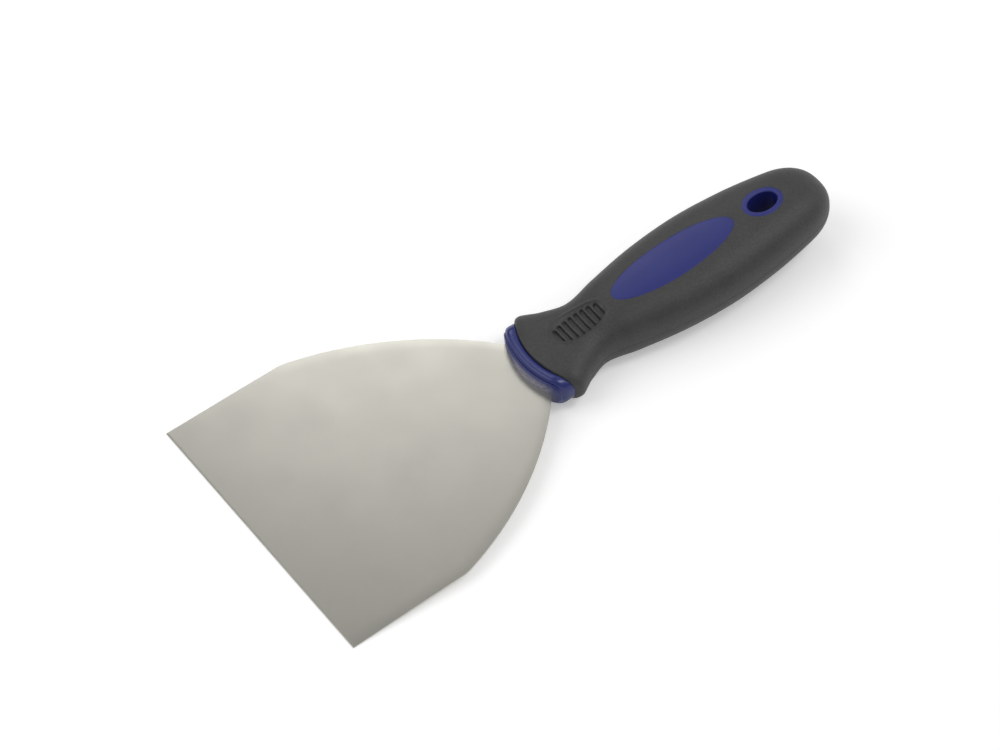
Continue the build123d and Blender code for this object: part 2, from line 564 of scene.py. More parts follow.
@dataclass(frozen=True)
class MouldedPlastic(Finish):
    """Polypropylene as it leaves a steel mould, in one deep violet blue.

    A polished mould gives a wet gloss; a fine-blasted one breaks the gloss into a
    satin sheen with a very fine orange peel.

    Attributes:
        grain_mm: Size of the orange peel.
        grain_layers: Its finer layers.
        drift_mm: Size of the patches over which colour and gloss drift.
        drift_layers: Their finer layers.
        ior: Index of refraction.
        painted_reflection: Pale colour painted on the nose's front, standing in for the
            blade and table that it mirrors, if it has one.
        reflection_mottle_mm: Size of a speck of the painted reflection.
        reflection_mottle_layers: Its finer layers.
        reflection_mottle_range: Levels of the clouds where a speck starts and is full.
        reflection_middle_mm: Where across the tool the painted reflection lies.
        reflection_across_mm: Distances from there where it starts to fade and has faded.
        reflection_heights_mm: The same for the distance from the blade's midplane.
    """

    grain_mm: float
    grain_layers: tuple[float, float] = (2.0, 0.5)
    drift_mm: float = 14.0
    drift_layers: tuple[float, float] = (3.0, 0.5)
    ior: float = 1.49
    painted_reflection: str | None = None
    reflection_mottle_mm: float = 1.3
    reflection_mottle_layers: tuple[float, float] = (3.0, 0.6)
    reflection_mottle_range: tuple[float, float] = (0.3, 0.55)
    reflection_middle_mm: float = -4.0
    reflection_across_mm: tuple[float, float] = (6.0, 9.5)
    reflection_heights_mm: tuple[float, float] = (1.8, 4.4)

    def fixed(self) -> dict[str, float]:
        """Its index of refraction."""
        return {"IOR": self.ior}

    def patterns(self, tree: NodeTree, frame: ToolFrame) -> Patterns:
        """Build the slow drift of colour and gloss, and the orange peel.

        Args:
            tree: The material's nodes.
            frame: The frame in which the tool lies.

        Returns:
            The drift twice, and the orange peel.
        """
        drift = clouds(tree, frame, (self.drift_mm,) * 3, self.drift_layers)
        return drift, drift, clouds(tree, frame, (self.grain_mm,) * 3, self.grain_layers)

    def with_painted_reflection(self, tree: NodeTree, frame: ToolFrame, colour: NodeSocket) -> NodeSocket:
        """Paint a pale, mottled reflection of the blade and table onto the colour next to the
        blade.

        Args:
            tree: The material's nodes.
            frame: The frame in which the tool lies.
            colour: The plastic's own colour.

        Returns:
            The colour with its painted reflection, if it has one.
        """
        # Painted reflection: the nose's front is turned pale and mottled where it would mirror the
        # blade and the table.
        if not self.painted_reflection:
            return colour
        coordinates = tool_coordinates(tree, frame, (1.0, 1.0, 1.0))
        place = add_node(tree, "ShaderNodeSeparateXYZ", links={"Vector": coordinates})
        beside = add_node(
            tree,
            "ShaderNodeMath",
            values={1: -self.reflection_middle_mm * MM},
            links={0: place.outputs["Y"]},
        )
        share = add_node(
            tree,
            "ShaderNodeMapRange",
            values={"From Min": self.reflection_mottle_range[0], "From Max": self.reflection_mottle_range[1]},
            links={"Value": clouds(tree, frame, (self.reflection_mottle_mm,) * 3, self.reflection_mottle_layers)},
        ).outputs["Result"]
        spans = (
            (place.outputs["Z"], self.reflection_heights_mm),
            (beside.outputs[0], self.reflection_across_mm),
        )
        for offset, span in spans:
            full, faded = (edge * MM for edge in span)
            distance = add_node(
                tree, "ShaderNodeMath", settings={"operation": "ABSOLUTE"}, links={0: offset}
            )
            fade = add_node(
                tree,
                "ShaderNodeMapRange",
                values={"From Min": full, "From Max": faded, "To Min": 1.0, "To Max": 0.0},
                links={"Value": distance.outputs[0]},
            )
            share = add_node(
                tree,
                "ShaderNodeMath",
                settings={"operation": "MULTIPLY"},
                links={0: share, 1: fade.outputs["Result"]},
            ).outputs[0]
        mixed = add_node(
            tree,
            "ShaderNodeMix",
            settings={"data_type": "RGBA"},
            values={7: linear(self.painted_reflection)},
            links={0: share, 6: colour},
        )
        return mixed.outputs[2]


@dataclass(frozen=True)
class SandedRubber(Finish):
    """Thermoplastic rubber from a sand-textured mould, charcoal and dry to the touch.

    The grit of the mould scatters light into a broad soft sheen, with tiny lighter
    and darker grains.

    Attributes:
        ior: Index of refraction.
        grit_mm: Size of the grit. Real grit is near 0.15 mm, and this is drawn as coarse
            as it needs to be to show.
        grit_layers: Its finer layers.
        grit_share: Its share in the mottling; the bloom has the rest.
        bloom_mm: Size of the patches of pale bloom.
        bloom_layers: Their finer layers.
    """

    name: str = "charcoal_thermoplastic_rubber"
    colours: tuple[str, str] = ("191919", "484847")
    roughness: tuple[float, float] = (0.45, 0.56)
    relief_mm: float = 0.13
    ior: float = 1.5
    grit_mm: float = 0.8
    grit_layers: tuple[float, float] = (3.0, 0.65)
    grit_share: float = 0.65
    bloom_mm: float = 9.0
    bloom_layers: tuple[float, float] = (4.0, 0.5)

    def fixed(self) -> dict[str, float]:
        """Its index of refraction."""
        return {"IOR": self.ior}

    def patterns(self, tree: NodeTree, frame: ToolFrame) -> Patterns:
        """Build the mottling, the bloom and the grit.

        Args:
            tree: The material's nodes.
            frame: The frame in which the tool lies.

        Returns:
            The mottling, the bloom, which dulls the gloss, and the grit.
        """
        grit = clouds(tree, frame, (self.grit_mm,) * 3, self.grit_layers)
        bloom = clouds(tree, frame, (self.bloom_mm,) * 3, self.bloom_layers)
        mottle = add_node(
            tree,
            "ShaderNodeMix",
            settings={"data_type": "FLOAT"},
            values={0: self.grit_share},
            links={2: bloom, 3: grit},
        )
        return mottle.outputs[0], bloom, grit


def dress(piece: Object, material: Material, node: str) -> None:
    """Give a new piece its finish, hang it from the root and hide the solid that it stands for.

    Args:
        piece: The new piece.
        material: Its finish.
        node: The solid that it replaces.
    """
    piece.data.materials.clear()
    piece.data.materials.append(material)
    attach(piece, "root")
    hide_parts(node)
    log.info("%s: %d faces", piece.name, len(piece.data.polygons))


# ---------------------------------------------------------------- blade


@dataclass(frozen=True)
class BladeSheet:
    """The stamped and ground steel sheet, with its tang.

    Stamping draws the faces down a little along the cut sides.

    Attributes:
        width: Across the front edge, mm.
        shoulder: Front edge to where the sides start to sweep in, and the width there, mm.
        shoulder_blend: How softly each shoulder turns, mm.
        side_radius: Radius of the swept sides, mm.
        entry: Front edge to where the sides enter the collar, and the width there, mm.
        tang_end: Front edge to the tang's end, mm.
        tang_width: Across the tang, mm.
        half_thickness: From the midplane to either ground face, mm.
        taper: Length of the thinner front, and what is taken off each face there, mm.
        bevel: Length of the front edge's bevel, and its depth on each face, mm.
        drawn_run: Width of the strip that the stamping draws down, mm.
        drawn_fall: How far it is drawn down at the cut, mm.
        key_holes: Places of the tang's holes behind the collar's foremost point, mm.
        key_hole_diameter: Their diameter, mm.
        key_hole_steps: Points round each.
        cutter_reach: How far their cutting bars run above and below the midplane, mm.
        bevel_rim: Length of the narrow row of faces behind the bevel, mm.
        turn_reach: Reach of the fine rows before and behind the shoulders, mm.
        entry_reach: Reach of the middling rows behind the collar's front, mm.
        row_pitches: Steps of the rows up to the shoulders, at them, up to the collar and
            along the tang, mm.
        edge_columns: Distances of the points beside a cut side, mm.
        inner_columns: Number of steps between these strips.
    """

    width: float = 99.96
    shoulder: tuple[float, float] = (41.9, 98.8)
    shoulder_blend: float = 0.38
    side_radius: float = 118.0
    entry: tuple[float, float] = (100.6, 24.6)
    tang_end: float = 172.9
    tang_width: float = 13.0
    half_thickness: float = 0.31
    taper: tuple[float, float] = (25.0, 0.09)
    bevel: tuple[float, float] = (0.4, 0.06)
    drawn_run: float = 4.5
    drawn_fall: float = 0.075
    key_holes: tuple[float, ...] = (32.0, 58.0)
    key_hole_diameter: float = 5.0
    key_hole_steps: int = 48
    cutter_reach: float = 2.0
    bevel_rim: float = 0.1
    turn_reach: float = 3.0
    entry_reach: float = 10.0
    row_pitches: tuple[float, ...] = (3.0, 0.5, 2.0, 6.0)
    edge_columns: tuple[float, ...] = (0.0, 0.35, 0.8, 1.4, 2.1, 2.9, 3.7, 4.6)
    inner_columns: int = 12

    def side_centre(self) -> tuple[float, float]:
        """Find the centre of the swept side's arc.

        Returns:
            Its distances behind the front edge and across, mm.
        """
        start = Vector((self.shoulder[0], self.shoulder[1] / 2))
        end = Vector((self.entry[0], self.entry[1] / 2))
        chord = end - start
        inward = Vector((chord.y, -chord.x)).normalized()
        reach = math.sqrt(self.side_radius**2 - (chord.length / 2) ** 2)
        centre = (start + end) / 2 + inward * reach
        return centre.x, centre.y

    def half_width(self, x: float) -> float:
        """Half the sheet's width at one place.

        Args:
            x: Distance from the front edge, mm.

        Returns:
            Half the width, mm.
        """
        narrowing = (self.width - self.shoulder[1]) / 2 / self.shoulder[0]
        straight = self.width / 2 - narrowing * x
        centre_x, centre_y = self.side_centre()
        swept = centre_y + math.sqrt(max(0.0, self.side_radius**2 - (x - centre_x) ** 2))
        return max(self.tang_width / 2, smooth_least(straight, swept, self.shoulder_blend))

    def half_height(self, x: float, inside: float) -> float:
        """Half the sheet's thickness at one place.

        Args:
            x: Distance from the front edge, mm.
            inside: Distance from the nearer cut side, mm.

        Returns:
            Half the thickness, mm.
        """
        height = self.half_thickness
        for length, depth in (self.taper, self.bevel):
            height -= depth * max(0.0, 1 - x / length)
        return height - self.drawn_fall * max(0.0, 1 - inside / self.drawn_run) ** 2

    def rows(self) -> list[float]:
        """Place the rows of points.

        Returns:
            Their distances from the front edge, mm.
        """
        length, turn = self.bevel[0], self.shoulder[0]
        places = [0.0, 0.0, length, length + self.bevel_rim]
        stops = (
            turn - self.turn_reach,
            turn + self.turn_reach,
            BLADE_REACH + self.entry_reach,
            self.tang_end,
        )
        for stop, pitch in zip(stops, self.row_pitches):
            places += spread(places[-1], stop, pitch)[1:]
        return places + [self.tang_end]

    def section(self) -> list[tuple[float, float, int]]:
        """Points round the sheet.

        Returns:
            For each point, its distance inside the cut side, mm, its share of the width
            that is left, and the sign of Z.
        """
        strip = self.edge_columns[-1]
        half = [(inside, 1.0) for inside in self.edge_columns]
        half += [(strip, 1 - 2 * i / self.inner_columns) for i in range(1, self.inner_columns)]
        half += [(inside, -1.0) for inside in reversed(self.edge_columns)]
        upper = [(inside, share, 1) for inside, share in half]
        return upper + [(inside, share, -1) for inside, share in reversed(half)]

    def build(self, frame: ToolFrame, material: Material) -> None:
        """Make the sheet and dress it.

        Args:
            frame: Lays it down.
            material: Its finish.
        """
        rows, section = self.rows(), self.section()
        ends = (0, len(rows) - 1)

        def place(row: int, column: int) -> Place:
            """Place of one point of the sheet, with both ends folded shut.

            Args:
                row: The point's row.
                column: Its column.

            Returns:
                The place, mm in the flat tool frame.
            """
            x = rows[row]
            inside, share, side = section[column]
            half_width = self.half_width(x)
            across = (half_width - inside) * share
            height = 0.0 if row in ends else self.half_height(x, half_width - abs(across))
            return x, across, side * height

        piece = wrap("blade_sheet", len(rows), len(section), place, frame)
        holes = [Oval(at, self.key_hole_diameter, self.key_hole_diameter) for at in self.key_holes]
        cut(piece, [
            prism(f"key_cutter_{i}", hole, self.key_hole_steps, self.cutter_reach, frame)
            for i, hole in enumerate(holes)
        ])
        dress(piece, material, "blade")


# ---------------------------------------------------------------- handle


@dataclass(frozen=True)
class Station:
    """Width and height of the handle at one place, mm."""

    at: float
    width: float
    height: float


@dataclass(frozen=True)
class Row:
    """One row of points of a shell round the handle.

    Attributes:
        at: Place along the handle at the middle, mm.
        inset: How far below the outer surface it lies, mm.
        bowed: Share of the front's bow that the row follows.
    """

    at: float
    inset: float
    bowed: float


@dataclass(frozen=True)
class HandleForm:
    """The handle's outer form: rounded sections on stations, and a rounded butt.

    Attributes:
        stations: Sizes along the handle.
        power: Squareness of the sections; 2 is an ellipse.
        butt_round: Length over which the end rounds over, mm.
        butt_power: Squareness of that rounding.
        butt_flat_share: How far along the rounding the flat end lies.
        wall: Thickness of the grip over the core, mm.
        straight_from: Where rows stop following the front's bow, mm.
        settle_rounds: Rounds in which a point settles on a bowed row.
        top_points: Share of the half width up to which the section's points lie close
            together, over the thumb rests, and their pitch.
        shoulder_points: The same for the points of the shoulders.
        side_points: Share of the half height down to which the side's points run, and
            their pitch.
        seam_points: Shares of the half height of the points at the parting line.
    """

    stations: tuple[Station, ...] = (
        Station(3.0, 34.4, 13.4),
        Station(10.0, 35.3, 14.8),
        Station(17.0, 27.9, 15.5),
        Station(25.0, 22.6, 16.2),
        Station(36.0, 26.6, 19.4),
        Station(52.0, 32.2, 21.0),
        Station(70.0, 34.4, 22.0),
        Station(87.0, 31.9, 21.7),
        Station(99.0, 28.1, 20.4),
        Station(116.1, 21.2, 17.0),
    )
    power: float = 2.5
    butt_round: float = 13.6
    butt_power: float = 2.6
    butt_flat_share: float = 0.99
    wall: float = 2.6
    straight_from: float = 17.0
    settle_rounds: int = 12
    top_points: tuple[float, float] = (0.56, 0.0165)
    shoulder_points: tuple[float, float] = (0.86, 0.04)
    side_points: tuple[float, float] = (0.06, 0.055)
    seam_points: tuple[float, ...] = (0.036, 0.024, 0.012, 0.0)

    def round_from(self) -> float:
        """Where the butt starts to round over, mm."""
        return self.stations[-1].at - self.butt_round

    def through(self, values: Sequence[float], at: float) -> float:
        """Value at a place, on the smooth curve through the stations' values.

        Args:
            values: One value for each station.
            at: The place, mm.

        Returns:
            The value there.
        """
        places = [station.at for station in self.stations]
        last = len(places) - 1
        i = max(k for k in range(last) if k == 0 or places[k] <= at)
        span = places[i + 1] - places[i]

        def slope(k: int) -> float:
            """Slope of the curve at a station."""
            low, high = max(k - 1, 0), min(k + 1, last)
            return (values[high] - values[low]) / (places[high] - places[low])

        t = (at - places[i]) / span
        start = (2 * t**3 - 3 * t**2 + 1) * values[i] + (t**3 - 2 * t**2 + t) * span * slope(i)
        end = (3 * t**2 - 2 * t**3) * values[i + 1] + (t**3 - t**2) * span * slope(i + 1)
        return start + end

    def half_sizes(self, at: float, inset: float = 0.0) -> tuple[float, float]:
        """Half width and half height at a place.

        Args:
            at: The place, mm.
            inset: How far the surface is drawn in, mm.

        Returns:
            Both, mm.
        """
        past = max(0.0, (at - self.round_from()) / (self.butt_round - inset))
        share = max(0.0, 1 - past**self.butt_power) ** (1 / self.butt_power)
        half_width = self.through([station.width / 2 for station in self.stations], at)
        half_height = self.through([station.height / 2 for station in self.stations], at)
        return (half_width - inset) * share, (half_height - inset) * share

    def height_over(self, at: float, across: float) -> float:
        """Height of the upper surface.

        Args:
            at: Place along the handle, mm.
            across: Distance from its middle, mm.

        Returns:
            The height above the blade's midplane, mm.
        """
        half_width, half_height = self.half_sizes(at)
        off = min(1.0, abs(across) / half_width)
        return half_height * (1 - off**self.power) ** (1 / self.power)

    def row(self, at: float, inset: float, bow: Bow) -> Row:
        """A row that follows a front's bow as far as its place asks, mm."""
        return Row(at, inset, 1 - smooth_step((at - bow.at) / (self.straight_from - bow.at)))

    def settle(self, row: Row, bow: Bow, share: float, corner: float = 0.0) -> float:
        """Find where a point of a bowed row lies along the handle.

        Args:
            row: Its row.
            bow: The front that the row follows.
            share: Its place across, as a share of the half width.
            corner: How far the sides are drawn in there, mm.

        Returns:
            Its place, mm.
        """
        at = row.at
        for _ in range(self.settle_rounds if row.bowed else 0):
            across = (self.half_sizes(at, row.inset)[0] - corner) * share
            at = row.at + row.bowed * (bow.behind(across) - bow.at)
        return at

    def section(self) -> list[tuple[float, float]]:
        """Points round the section, as shares of its half width and half height.

        They lie close together over the thumb rests and at the parting line, and
        wider apart on the shoulders.

        Returns:
            The shares, counter-clockwise from the top.
        """
        def partner(share: float) -> float:
            """The other share of a point on the section's rim."""
            return max(0.0, 1 - share**self.power) ** (1 / self.power)

        top_end, shoulder_end = self.top_points[0], self.shoulder_points[0]
        top = spread(0.0, *self.top_points)
        shoulder = spread(top_end, shoulder_end, self.shoulder_points[1])[1:]
        quarter = [(share, partner(share)) for share in top + shoulder]
        side = spread(quarter[-1][1], *self.side_points)[1:] + list(self.seam_points)
        quarter += [(partner(share), share) for share in side]
        lower = [(a, -b) for a, b in reversed(quarter[:-1])]
        half = quarter + lower
        return [(-a, b) for a, b in half] + [(a, b) for a, b in reversed(half[1:-1])]


@dataclass(frozen=True)
class ThumbRest:
    """A dished oval with ribs between slots, as vertex moves on the handle.

    Attributes:
        at: Its middle, mm.
        length: Between its two ends, mm.
        width: Level with its ends, mm.
        depth: Below a straight line between its ends, mm.
        bowl: Upright half axis of the bowl, mm.
        rim_blend: How softly the rim turns over, mm.
        lip_height: Height of the fine raised lip round the rim, mm.
        lower_lip_height: Its height on the underside, where the tool lies, mm.
        lip_level: Level of the dish's wall over the surface under the lip's crest, mm.
        lip_spread: Change of that level over which the lip fades, mm.
        slots_at: Middle of the row of slots, mm.
        slot_count: Number of slots.
        slot_pitch: From slot to slot, mm.
        slot_width: Across one slot, mm.
        slot_depth: Below the dish, mm.
        slot_flatness: How level a slot's floor is towards either end, where 0 follows
            the dish.
        slot_wall: Width of a slot's sloping wall, mm.
        field_length: Length of the oval that the slots shorten to fit, mm.
        field_width: Width of that oval, mm.
        field_middle: Its middle across the tool, mm.
    """

    at: float = 22.5
    length: float = 19.4
    width: float = 13.8
    depth: float = 1.8
    bowl: float = 5.0
    rim_blend: float = 0.12
    lip_height: float = 0.3
    lower_lip_height: float = 0.08
    lip_level: float = 0.08
    lip_spread: float = 0.24
    slots_at: float = 22.2
    slot_count: int = 8
    slot_pitch: float = 2.2
    slot_width: float = 1.3
    slot_depth: float = 0.85
    slot_flatness: tuple[float, float] = (0.6, 0.1)
    slot_wall: float = 0.3
    field_length: float = 20.0
    field_width: float = 8.2
    field_middle: float = -0.3

    def press(
        self, form: HandleForm, at: float, across: float, height: float, lip: float
    ) -> tuple[float, float]:
        """Press a point of the surface into the thumb rest.

        Args:
            form: The handle's form.
            at: The point's place along the handle, mm.
            across: Its distance from the middle, mm.
            height: Its height over the blade's midplane, mm.
            lip: Height of the lip on its face, mm.

        Returns:
            Its new place along and its new height, mm.
        """
        if abs(at - self.at) > self.length or height < 0:
            return at, height
        front = form.half_sizes(self.at - self.length / 2)[1]
        back = form.half_sizes(self.at + self.length / 2)[1]
        slope = math.atan2(back - front, self.length)
        run, rise = at - self.at, height - (front + back) / 2
        along = run * math.cos(slope) + rise * math.sin(slope)
        level = rise * math.cos(slope) - run * math.sin(slope)
        floor = self.floor(along, across)
        if floor is None:
            return at, height
        move = smooth_least(level, floor, self.rim_blend) - level
        move += lip * math.exp(-(((floor - level - self.lip_level) / self.lip_spread) ** 2))
        return at - move * math.sin(slope), height + move * math.cos(slope)

    def floor(self, along: float, across: float) -> float | None:
        """Level of the dish with its slots.

        Args:
            along: Distance behind its middle, mm.
            across: Distance from the tool's middle, mm.

        Returns:
            The level over a straight line between its ends, mm, or None outside the bowl.
        """
        reach = math.sqrt(1 - (1 - self.depth / self.bowl) ** 2)
        half_length = self.length / 2 / reach
        off = (along / half_length) ** 2 + (across * 2 * reach / self.width) ** 2
        if off >= 1:
            return None
        level = self.bowl * (1 - math.sqrt(1 - off)) - self.depth
        for i in range(self.slot_count):
            offset = self.slot_pitch * (i - (self.slot_count - 1) / 2)
            middle = self.slots_at + offset - self.at
            if abs(along - middle) < self.slot_width:
                length = self.field_width * math.sqrt(1 - (2 * offset / self.field_length) ** 2)
                straight = (length - self.slot_width) / 2
                past = max(0.0, abs(across - self.field_middle) - straight)
                inside = self.slot_width / 2 - math.hypot(along - middle, past)
                share = smooth_step(inside / self.slot_wall + 0.5)
                rise = self.bowl * (1 - math.sqrt(1 - (middle / half_length) ** 2))
                flat = self.slot_flatness[0 if across < 0 else 1]
                level += ((rise - self.depth - level) * flat - self.slot_depth) * share
        return level


@dataclass(frozen=True)
class PartingLine:
    """The hairline that the mould's two halves leave along the grip's sides.

    Attributes:
        depth: At its middle, mm.
        half_width: Where it has faded to a third, mm.
    """

    depth: float = 0.1
    half_width: float = 0.2

    def draw_in(self, across: float, height: float) -> float:
        """New distance across for a point on the side, mm."""
        groove = self.depth * math.exp(-((height / self.half_width) ** 2))
        return across - math.copysign(groove, across)


@dataclass(frozen=True)
class SoftGrip:
    """The soft skin moulded over the core, with its openings, lip and thumb rests.

    Attributes:
        form: The handle's form.
        seam: The bowed line where it meets the collar.
        window: The core's oval that shows through it.
        eyelet: The outside of the ring round the hang hole.
        thumb_rest: The rest on each face.
        parting: The line along its sides.
        lip_fillet: Rounding of its front rim, mm.
        lip_steps: Rows of points round that rim.
        corner: Length and depth of the rounding that draws the flare's sides in, mm.
        roll: Depth and length of the fall of its faces towards the lip, mm.
        slot_rows: Rows of points to each slot of the thumb rests.
        fine_span: How far the fine rows reach before and behind the middle of the
            slots, as a number of slots.
        medium: Pitch of the rows elsewhere outside, mm.
        coarse: Pitch of the rows inside, mm.
        butt_rows: Rows of points round the butt, outside and inside.
    """

    form: HandleForm
    seam: Bow
    window: Oval
    eyelet: Oval
    thumb_rest: ThumbRest = field(default_factory=ThumbRest)
    parting: PartingLine = field(default_factory=PartingLine)
    lip_fillet: float = 0.7
    lip_steps: int = 6
    corner: tuple[float, float] = (3.2, 1.0)
    roll: tuple[float, float] = (0.45, 1.9)
    slot_rows: int = 14
    fine_span: tuple[float, float] = (5.0, 5.5)
    medium: float = 0.75
    coarse: float = 3.0
    butt_rows: tuple[int, int] = (16, 6)

    def rows(self) -> list[Row]:
        """Place the shell's rows.

        Returns:
            The rows, from the hidden inner end round the lip to the butt.
        """
        form, seam, wall = self.form, self.seam, self.form.wall
        round_from = form.round_from()
        inner_end = form.butt_round - wall
        inner_butt = reversed(quarter_arc(self.butt_rows[1]))
        places = [round_from + inner_end * sine for sine, _ in inner_butt]
        places += spread(round_from, form.straight_from, self.coarse)[1:]
        places += spread(form.straight_from, seam.at, self.coarse)[1:]
        inside = [form.row(at, wall, seam) for at in places]
        lip = [Row(seam.at, (wall + self.lip_fillet) / 2, 1.0)]
        for sine, cosine in quarter_arc(self.lip_steps):
            back, down = self.lip_fillet * (1 - cosine), self.lip_fillet * (1 - sine)
            lip.append(form.row(seam.at + back, down, seam))
        middle, pitch = self.thumb_rest.slots_at, self.thumb_rest.slot_pitch
        fine_from, fine_to = middle - self.fine_span[0] * pitch, middle + self.fine_span[1] * pitch
        places = spread(lip[-1].at, fine_from, self.medium)[1:]
        places += spread(fine_from, fine_to, pitch / self.slot_rows)[1:]
        places += spread(fine_to, round_from, self.medium)[1:]
        reach = form.butt_round * form.butt_flat_share
        places += [round_from + reach * sine for sine, _ in quarter_arc(self.butt_rows[0])[1:]]
        return inside + lip + [form.row(at, 0.0, seam) for at in places]

    def spot(self, row: Row, shares: tuple[float, float]) -> Place:
        """Place of one point of the shell.

        Args:
            row: Its row.
            shares: Its place round the section.

        Returns:
            The place, mm in the flat tool frame.
        """
        corner = self.corner_depth(row.at)
        at = self.form.settle(row, self.seam, shares[0], corner)
        half_width, half_height = self.form.half_sizes(at, row.inset)
        across = (half_width - corner) * shares[0]
        height = (half_height - self.roll_depth(row.at)) * shares[1]
        if row.inset == 0:
            at, across, height = self.sculpt(at, across, height)
        return BLADE_REACH + at, across, height

    def corner_depth(self, at: float) -> float:
        """How far the flare's sides are drawn in, where they round towards the lip, mm."""
        past = min(1.0, max(0.0, 1 - (at - self.seam.at) / self.corner[0]))
        return self.corner[1] * (1 - math.sqrt(1 - past * past))

    def roll_depth(self, at: float) -> float:
        """How far the faces fall off towards the lip, mm."""
        return self.roll[0] * math.exp(-(((at - self.seam.at) / self.roll[1]) ** 2))

    def sculpt(self, at: float, across: float, height: float) -> Place:
        """Move a point of the outer surface into the thumb rests and the parting line.

        Args:
            at: Its place along the handle, mm.
            across: Its distance from the middle, mm.
            height: Its height over the blade's midplane, mm.

        Returns:
            Its new distances, in the same order.
        """
        rest = self.thumb_rest
        lip = rest.lip_height if height > 0 else rest.lower_lip_height
        at, level = rest.press(self.form, at, across, abs(height), lip)
        return at, self.parting.draw_in(across, height), math.copysign(level, height)

    def build(self, frame: ToolFrame, material: Material) -> None:
        """Make the grip and dress it.

        Args:
            frame: Lays it down.
            material: Its finish.
        """
        rows, section = self.rows(), self.form.section()
        ends = (0, len(rows) - 1)

        def place(row: int, column: int) -> Place:
            """Place of one point of the grip, with both ends drawn shut.

            Args:
                row: The point's row.
                column: Its column.

            Returns:
                The place, mm in the flat tool frame.
            """
            if row in ends:
                return BLADE_REACH + rows[row].at, 0.0, 0.0
            return self.spot(rows[row], section[column])

        piece = wrap("soft_grip_skin", len(rows), len(section), place, frame)
        openings = {"window_cutter": self.window, "eyelet_cutter": self.eyelet}
        cut(piece, [
            prism(name, oval, OVAL_STEPS, CUTTER_REACH, frame) for name, oval in openings.items()
        ])
        dress(piece, material, "soft_grip")


# ---------------------------------------------------------------- core


@dataclass(frozen=True)
class BowedBar:
    """A bar across the tool with rounded ends and both faces bowed to the blade.

    Attributes:
        name: The piece's name.
        front: Its front face.
        back: Its back face.
        width: Across the tool, mm.
        height: Through the tool, mm.
        corner: Rounding of its ends, seen along the tool, mm.
        front_fillet: Rounding of the front face's rim, mm.
        back_fall: Height by which the surface falls towards the back face, mm.
        back_run: Length over which it falls, mm.
        fillet_steps: Rows of points round that rim and over that fall.
        side_steps: Steps across its broad sides and up its ends.
        corner_steps: Steps round each corner.
        cap_rows: Rows of points that draw each face shut.
    """

    name: str
    front: Bow
    back: Bow
    width: float
    height: float
    corner: float
    front_fillet: float
    back_fall: float
    back_run: float
    fillet_steps: int = 8
    side_steps: tuple[int, int] = (30, 2)
    corner_steps: int = 12
    cap_rows: int = 5

    def outline(self) -> list[tuple[float, float, float, float]]:
        """Place the points round the section.

        Returns:
            Each point's shares of the straight parts across and up, and its direction
            from the corner's centre.
        """
        points = []
        for turn in range(4):
            steps = self.side_steps[turn % 2]
            cosine = round(math.cos(turn * math.pi / 2))
            sine = round(math.sin(turn * math.pi / 2))
            for i in range(steps):
                share = 1 - 2 * i / steps
                points.append((share * cosine - sine, share * sine + cosine, -sine, cosine))
            for i in range(self.corner_steps):
                angle = math.pi / 2 * (turn + 1 + i / self.corner_steps)
                points.append((-cosine - sine, -sine + cosine, math.cos(angle), math.sin(angle)))
        return points

    def rows(self) -> list[tuple[float, float, float, float]]:
        """Rows from the front's middle to the back's.

        Returns:
            Each row's share of the depth, its insets at the ends and at the top, mm, and
            the squash that draws it shut.
        """
        depth = self.back.at - self.front.at
        fillet, fall = self.front_fillet, self.back_fall
        rows = [(0.0, fillet, fillet, i / self.cap_rows) for i in range(self.cap_rows)]
        for sine, cosine in quarter_arc(self.fillet_steps):
            inset = fillet * (1 - sine)
            rows.append((fillet * (1 - cosine) / depth, inset, inset, 1.0))
        for sine, cosine in reversed(quarter_arc(self.fillet_steps)):
            rows.append((1 - self.back_run * (1 - cosine) / depth, 0.0, fall * (1 - sine), 1.0))
        rows += [(1.0, 0.0, fall, 1 - (i + 1) / self.cap_rows) for i in range(self.cap_rows)]
        return rows

    def build(self, frame: ToolFrame) -> Object:
        """Make the bar, laid down by the frame.

        Args:
            frame: Lays it down.

        Returns:
            The bar.
        """
        outline, rows = self.outline(), self.rows()

        def place(row: int, column: int) -> Place:
            """Place of one point of the bar.

            Args:
                row: The point's row.
                column: Its column.

            Returns:
                The place, mm in the flat tool frame.
            """
            depth, end_inset, top_inset, squash = rows[row]
            share_y, share_z, unit_y, unit_z = outline[column]
            across = (self.width / 2 - self.corner) * share_y + (self.corner - end_inset) * unit_y
            height = (self.height / 2 - self.corner) * share_z + (self.corner - top_inset) * unit_z
            front, back = self.front.behind(across), self.back.behind(across)
            return BLADE_REACH + front + (back - front) * depth, across, height * squash

        return wrap(self.name, len(rows), len(outline), place, frame)


